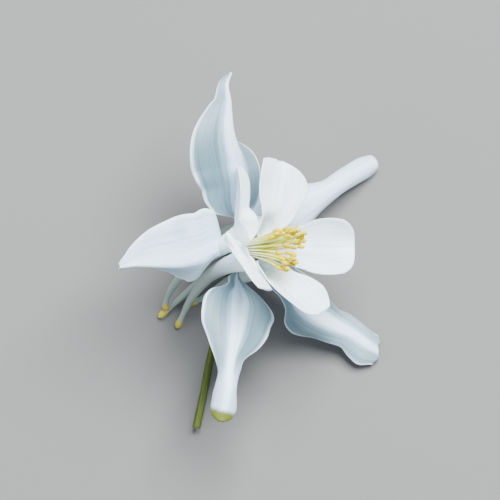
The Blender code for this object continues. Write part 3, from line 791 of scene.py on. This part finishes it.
def stem_finish(colours):
    """Olive skin with long ridges, paler where it is cut."""
    n = Nodes("stem_skin")
    cut = n.field("cut")
    ridges = n.streaks((22, 3, 1), 3.0, 0.6)
    patches = n.grain(180.0, 2.0, 0.5)
    colour = n.mix(n.ramp(ridges, 0.3, 0.7), colours.stem_shade, colours.stem)
    colour = n.mix(n.ramp(patches, 0.4, 0.7, 0.0, 0.4), colour, colours.stem_light)
    colour = n.mix(cut, colour, colours.pith)
    return n.finish(colour, 0.45, n.bump(ridges, 0.4, 0.0002),
                    subsurface=0.12, radius=(0.5, 0.8, 0.2))


# ---------------------------------------------------------------- settings

def length(name, description, default):
    """Setting for a length in metres."""
    return FloatProperty(name=name, description=description, default=default, min=0.0,
                         unit="LENGTH", precision=5)


def tint(name, description, default):
    """Setting for a colour."""
    return FloatVectorProperty(name=name, description=description, default=default,
                               subtype="COLOR", size=3, min=0.0, max=1.0)


class ColumbineSizes(PropertyGroup):
    """Sizes of the flower's parts."""

    sepal_wall: length("Sepal thickness", "Thickness of a sepal", 0.00028)
    petal_wall: length("Petal thickness", "Thickness of a petal", 0.00026)
    vein_height: length("Vein height", "How far the main veins stand out", 0.000016)
    ruffle: length("Ruffle", "Height of the waves in a margin", 0.00022)
    end_wave: length("End wave", "Depth of the waves across a blunt end", 0.0004)
    end_slope: length("End slope", "How much longer a blunt end is on its low side", 0.0016)
    petal_wave: length("Petal wave", "Height of the waves at a petal's end", 0.00012)
    filament: length("Filament radius", "Radius of a stamen's filament", 0.00015)
    anther: length("Anther radius", "Radius of a stamen's anther", 0.00051)
    ovary: length("Ovary radius", "Radius of a carpel's ovary; its style follows", 0.00046)


class ColumbineColours(PropertyGroup):
    """Colours of the flower's parts."""

    sepal: tint("Sepal", "Sepal tissue between its veins", (0.61, 0.81, 1.0))
    # Colour of the veins; on the sepals' flanks it is also painted blue-grey shade
    vein_and_shade: tint("Vein", "Veins and thin places", (0.085, 0.16, 0.195))
    sepal_margin: tint("Margin", "Sepal's edge", (0.78, 0.90, 1.0))
    petal: tint("Petal", "Petal blade", (0.74, 0.87, 1.0))
    throat: tint("Throat", "Foot of the sepals and petals", (0.84, 0.90, 0.80))
    spur: tint("Spur", "Outside of the spur", (0.20, 0.27, 0.22))
    knob: tint("Knob", "Knob at the end of the spur", (0.42, 0.36, 0.03))
    tip: tint("Green tip", "Tip of the lowest sepal", (0.085, 0.11, 0.001))
    anther: tint("Anther", "Ripe pollen", (0.76, 0.60, 0.0))
    anther_shade: tint("Anther shade", "Pollen between its grains", (0.48, 0.33, 0.0))
    filament: tint("Filament", "Upper part of a stamen's filament", (0.80, 0.76, 0.12))
    filament_foot: tint("Filament foot", "Lower part of a stamen's filament", (0.84, 0.86, 0.62))
    carpel: tint("Style", "Upper part of a carpel", (0.66, 0.66, 0.01))
    carpel_base: tint("Ovary", "Lower part of a carpel", (0.42, 0.50, 0.10))
    stem: tint("Stem", "Ridges of the stem", (0.065, 0.095, 0.001))
    stem_shade: tint("Stem shade", "Furrows of the stem", (0.03, 0.048, 0.0))
    stem_light: tint("Stem light", "Pale patches on the stem", (0.11, 0.14, 0.008))
    pith: tint("Pith", "Cut end of the stem", (0.55, 0.60, 0.30))


class ColumbineStudio(PropertyGroup):
    """Camera, lights and floor."""

    elevation: FloatProperty(name="Elevation", description="Camera's angle above the horizon",
                             default=math.radians(80), unit="ROTATION")
    distance: length("Distance", "From the camera to the flower's centre", 1.6)
    view_width: length("View width", "Width of the view at the flower's centre", 0.1)
    offset: length("Offset", "How far right of the flower's centre the camera aims", 0.0018)
    floor: tint("Floor", "Pale floor", (0.13, 0.132, 0.132))
    key: FloatProperty(name="Key light", description="Large soft light from the upper right",
                       default=54.0, min=0.0, unit="POWER")
    fill: FloatProperty(name="Fill light", description="Weaker light from the left",
                        default=4.0, min=0.0, unit="POWER")


SETTINGS = {"columbine_sizes": ColumbineSizes, "columbine_colours": ColumbineColours,
            "columbine_studio": ColumbineStudio}


# ---------------------------------------------------------------- operators

class COLUMBINE_OT_sepals(Operator):
    """Five broad sepals, each folded and curled in its own way"""

    bl_idname = "columbine.sepals"
    bl_label = "Sepals"

    def execute(self, context):
        sizes = context.scene.columbine_sizes
        finish = sepal_finish(context.scene.columbine_colours)
        rows, columns = SEPAL_GRID
        s, t = np.linspace(0, 1, rows + 1)[:, None], np.linspace(-1, 1, columns + 1)[None]
        for number, shape in enumerate(SEPALS):
            surface = sepal_surface(shape, rows, columns)
            surface = surface + sepal_end(surface, shape, s, t, number, sizes)
            surface = surface + sepal_relief(surface, s, t, number, sizes)
            # Strength of the veins and of the painted flank shade, from the sepal's foot to its tip
            low, high = shape["veins_and_shade"]
            veins_and_shade = low + (high - low) * smooth((s - VEINS_AND_SHADE_START) / VEINS_AND_SHADE_RUN)
            place = in_place(surface, FIRST_SEPAL + TURN * number)
            mesh = sheet_mesh(f"sepal_{number + 1}_tissue", place,
                              {"along": s, "across": t, "green": shape["green"], "veins_and_shade": veins_and_shade})
            piece = add_piece(weld(mesh), finish, "sepal_white", f"sepal_{number + 1}")
            give_wall(piece, sizes.sepal_wall, 0)
        return {"FINISHED"}


class COLUMBINE_OT_petals(Operator):
    """Five petals, each a hollow spur that opens into a blade"""

    bl_idname = "columbine.petals"
    bl_label = "Petals"

    def execute(self, context):
        sizes = context.scene.columbine_sizes
        finish = petal_finish(context.scene.columbine_colours)
        rows, columns = PETAL_GRID
        for number, shape in enumerate(PETALS):
            surface, along = petal_surface(shape, rows, columns)
            surface = surface + petal_relief(surface, along, number, sizes)
            mesh = sheet_mesh(f"petal_{number + 1}_tissue",
                              in_place(surface, FIRST_PETAL + TURN * number), {"along": along})
            piece = add_piece(weld(mesh), finish, "petal_white", f"petal_{number + 1}")
            give_wall(piece, sizes.petal_wall, -1)
        return {"FINISHED"}


class COLUMBINE_OT_stamens(Operator):
    """Two rings of stamens with two-lobed anthers"""

    bl_idname = "columbine.stamens"
    bl_label = "Stamens"

    def execute(self, context):
        sizes = context.scene.columbine_sizes
        finish = stamen_finish(context.scene.columbine_colours)
        share = np.linspace(0, 1, ANTHER_POINTS)
        reach = ANTHER_LENGTH * (ANTHER_START + (1 - ANTHER_START) * share[:, None])
        bulge = np.sqrt(np.clip(1 - (2 * share - 1)**2, 0, 1))
        bulge = bulge * (1 - ANTHER_BLUNT) + ANTHER_BLUNT
        radii = np.concatenate([np.full(FILAMENT_POINTS, sizes.filament), sizes.anther * bulge])
        part = np.repeat([0.0, 1.0], (FILAMENT_POINTS + 1, ANTHER_POINTS + 1))[:, None]
        along = np.concatenate([np.linspace(0, 1, FILAMENT_POINTS + 1),
                                np.ones(ANTHER_POINTS + 1)])[:, None]
        number = 0
        for count, ring in STAMEN_RINGS:
            for step in range(count):
                number += 1
                angle = 2 * math.pi * (step + 0.5) / count
                line = stamen_line(number, angle, ring, FILAMENT_POINTS)
                anther = line[-1] + unit(line[-1] - line[-2]) * reach
                surface = rod_surface(np.concatenate([line, anther]), radii / MM, STAMEN_SIDES,
                                      two_lobes)
                name = f"stamen_{number:02d}"
                mesh = sheet_mesh(f"{name}_pollen", in_place(surface),
                                  {"part": part, "along": along})
                add_piece(weld(mesh, True), finish, "stamen_yellow", name)
        return {"FINISHED"}


class COLUMBINE_OT_carpels(Operator):
    """Five slender carpels with their styles"""

    bl_idname = "columbine.carpels"
    bl_label = "Carpels"

    def execute(self, context):
        sizes = context.scene.columbine_sizes
        finish = carpel_finish(context.scene.columbine_colours)
        heights = np.linspace(0, 1, CARPEL_POINTS)
        radii = value_at(CARPEL_PROFILE, heights) * sizes.ovary / MM
        for number in range(ORGANS):
            line = carpel_line(number, CARPEL_POINTS)
            surface = rod_surface(line, radii, CARPEL_SIDES, six_ribs)
            along = np.concatenate([[0], heights, [1]])[:, None]
            name = f"carpel_{number + 1}"
            mesh = sheet_mesh(f"{name}_skin", in_place(surface), {"along": along})
            add_piece(weld(mesh, True), finish, "carpel_green", name)
        return {"FINISHED"}


class COLUMBINE_OT_receptacle(Operator):
    """Knob that carries every organ"""

    bl_idname = "columbine.receptacle"
    bl_label = "Receptacle"

    def execute(self, context):
        finish = stem_finish(context.scene.columbine_colours)
        finish.name = "receptacle_skin"
        place = in_place(receptacle_surface(*RECEPTACLE_GRID))
        mesh = sheet_mesh("receptacle_skin", place, {"cut": 0.0})
        add_piece(weld(mesh, True), finish, "receptacle_green", "receptacle")
        return {"FINISHED"}


class COLUMBINE_OT_stem(Operator):
    """Bent flower stalk, ridged and cleanly cut"""

    bl_idname = "columbine.stem"
    bl_label = "Stem"

    def execute(self, context):
        finish = stem_finish(context.scene.columbine_colours)
        axis = turned(np.array([0.0, 0.0, 1.0]))
        route = [axis * (RECEPTACLE_BACK - SEAT_GAP), *STEM_ROUTE]
        knots = [(k, *point) for k, point in enumerate(route)]
        line = at_knots(knots, np.linspace(0, len(route) - 1, STEM_SAMPLES))
        surface = rod_surface(line, np.full(STEM_SAMPLES, STEM_RADIUS), STEM_SIDES,
                              stem_ridges)
        cut = np.concatenate([np.zeros(STEM_SAMPLES), [0.0, 1.0]])[:, None]
        mesh = sheet_mesh("stem_skin", surface * MM + CENTRE, {"cut": cut})
        add_piece(weld(mesh, True), finish, "stem_green", "stem")
        return {"FINISHED"}


# Studio, in metres: the lights' places are from the flower's centre
FLOOR_HALF = 3.0
CLIP_START = 0.01
LAMP_SIZE = 0.6
KEY_PLACE = (0.22, 0.34, 0.9)
KEY_TINT = (1, 0.995, 0.985)
FILL_PLACE = (-0.7, -0.3, 0.5)
FILL_TINT = (0.9, 0.95, 1)
SKY_TINT = (0.82, 0.91, 1.0)
SKY_STRENGTH = 0.62


def soft_light(name, place, power, colour):
    """Square area light, turned towards the flower."""
    lamp = bpy.data.lights.new(name, "AREA")
    lamp.energy, lamp.size, lamp.color = power, LAMP_SIZE, colour
    holder = bpy.data.objects.new(name, lamp)
    bpy.context.scene.collection.objects.link(holder)
    holder.location = CENTRE + place
    x, y, z = place
    holder.rotation_euler = (math.atan2(math.hypot(x, y), z), 0, math.atan2(y, x) + math.pi / 2)


class COLUMBINE_OT_stage(Operator):
    """Plain pale floor, soft studio light and the camera"""

    bl_idname = "columbine.stage"
    bl_label = "Studio"

    def execute(self, context):
        studio = context.scene.columbine_studio
        corners = np.array([[(x, y, 0) for x in (-FLOOR_HALF, FLOOR_HALF)]
                            for y in (-FLOOR_HALF, FLOOR_HALF)])
        mesh = sheet_mesh("floor", corners, {})
        floor = bpy.data.objects.new("floor", mesh)
        context.scene.collection.objects.link(floor)
        n = Nodes("floor_paint")
        mesh.materials.append(n.finish(studio.floor, 0.85))

        soft_light("key", KEY_PLACE, studio.key, KEY_TINT)
        soft_light("fill", FILL_PLACE, studio.fill, FILL_TINT)
        world = bpy.data.worlds.new("studio")
        context.scene.world = world
        world.use_nodes = True
        back = world.node_tree.nodes["Background"]
        back.inputs["Color"].default_value = (*SKY_TINT, 1)
        back.inputs["Strength"].default_value = SKY_STRENGTH

        lens = bpy.data.cameras.new("camera")
        lens.lens = lens.sensor_width * studio.distance / studio.view_width
        lens.clip_start = CLIP_START
        camera = bpy.data.objects.new("camera", lens)
        context.scene.collection.objects.link(camera)
        away = (0, -math.cos(studio.elevation), math.sin(studio.elevation))
        camera.location = CENTRE + (studio.offset, 0, 0) + np.array(away) * studio.distance
        camera.rotation_euler = (math.pi / 2 - studio.elevation, 0, 0)
        context.scene.camera = camera
        return {"FINISHED"}


OPERATORS = (COLUMBINE_OT_stem, COLUMBINE_OT_receptacle, COLUMBINE_OT_sepals, COLUMBINE_OT_petals,
             COLUMBINE_OT_carpels, COLUMBINE_OT_stamens, COLUMBINE_OT_stage)


class COLUMBINE_PT_panel(Panel):
    """Columbine flower's settings and builders"""

    bl_idname = "COLUMBINE_PT_panel"
    bl_label = "Columbine Flower"
    bl_space_type = "VIEW_3D"
    bl_region_type = "UI"
    bl_category = "Columbine"

    def draw(self, context):
        for name in SETTINGS:
            settings = getattr(context.scene, name)
            box = self.layout.box()
            for key in settings.__annotations__:
                box.prop(settings, key)
        for operator in OPERATORS:
            self.layout.operator(operator.bl_idname)


CLASSES = (*SETTINGS.values(), *OPERATORS, COLUMBINE_PT_panel)


def register():
    for item in CLASSES:
        bpy.utils.register_class(item)
    for name, kind in SETTINGS.items():
        setattr(bpy.types.Scene, name, PointerProperty(type=kind))


def unregister():
    for name in SETTINGS:
        delattr(bpy.types.Scene, name)
    for item in reversed(CLASSES):
        bpy.utils.unregister_class(item)


def main():
    register()
    bpy.ops.columbine.stem()
    bpy.ops.columbine.receptacle()
    bpy.ops.columbine.sepals()
    bpy.ops.columbine.petals()
    bpy.ops.columbine.carpels()
    bpy.ops.columbine.stamens()
    bpy.ops.columbine.stage()


if __name__ == "__main__":
    main()
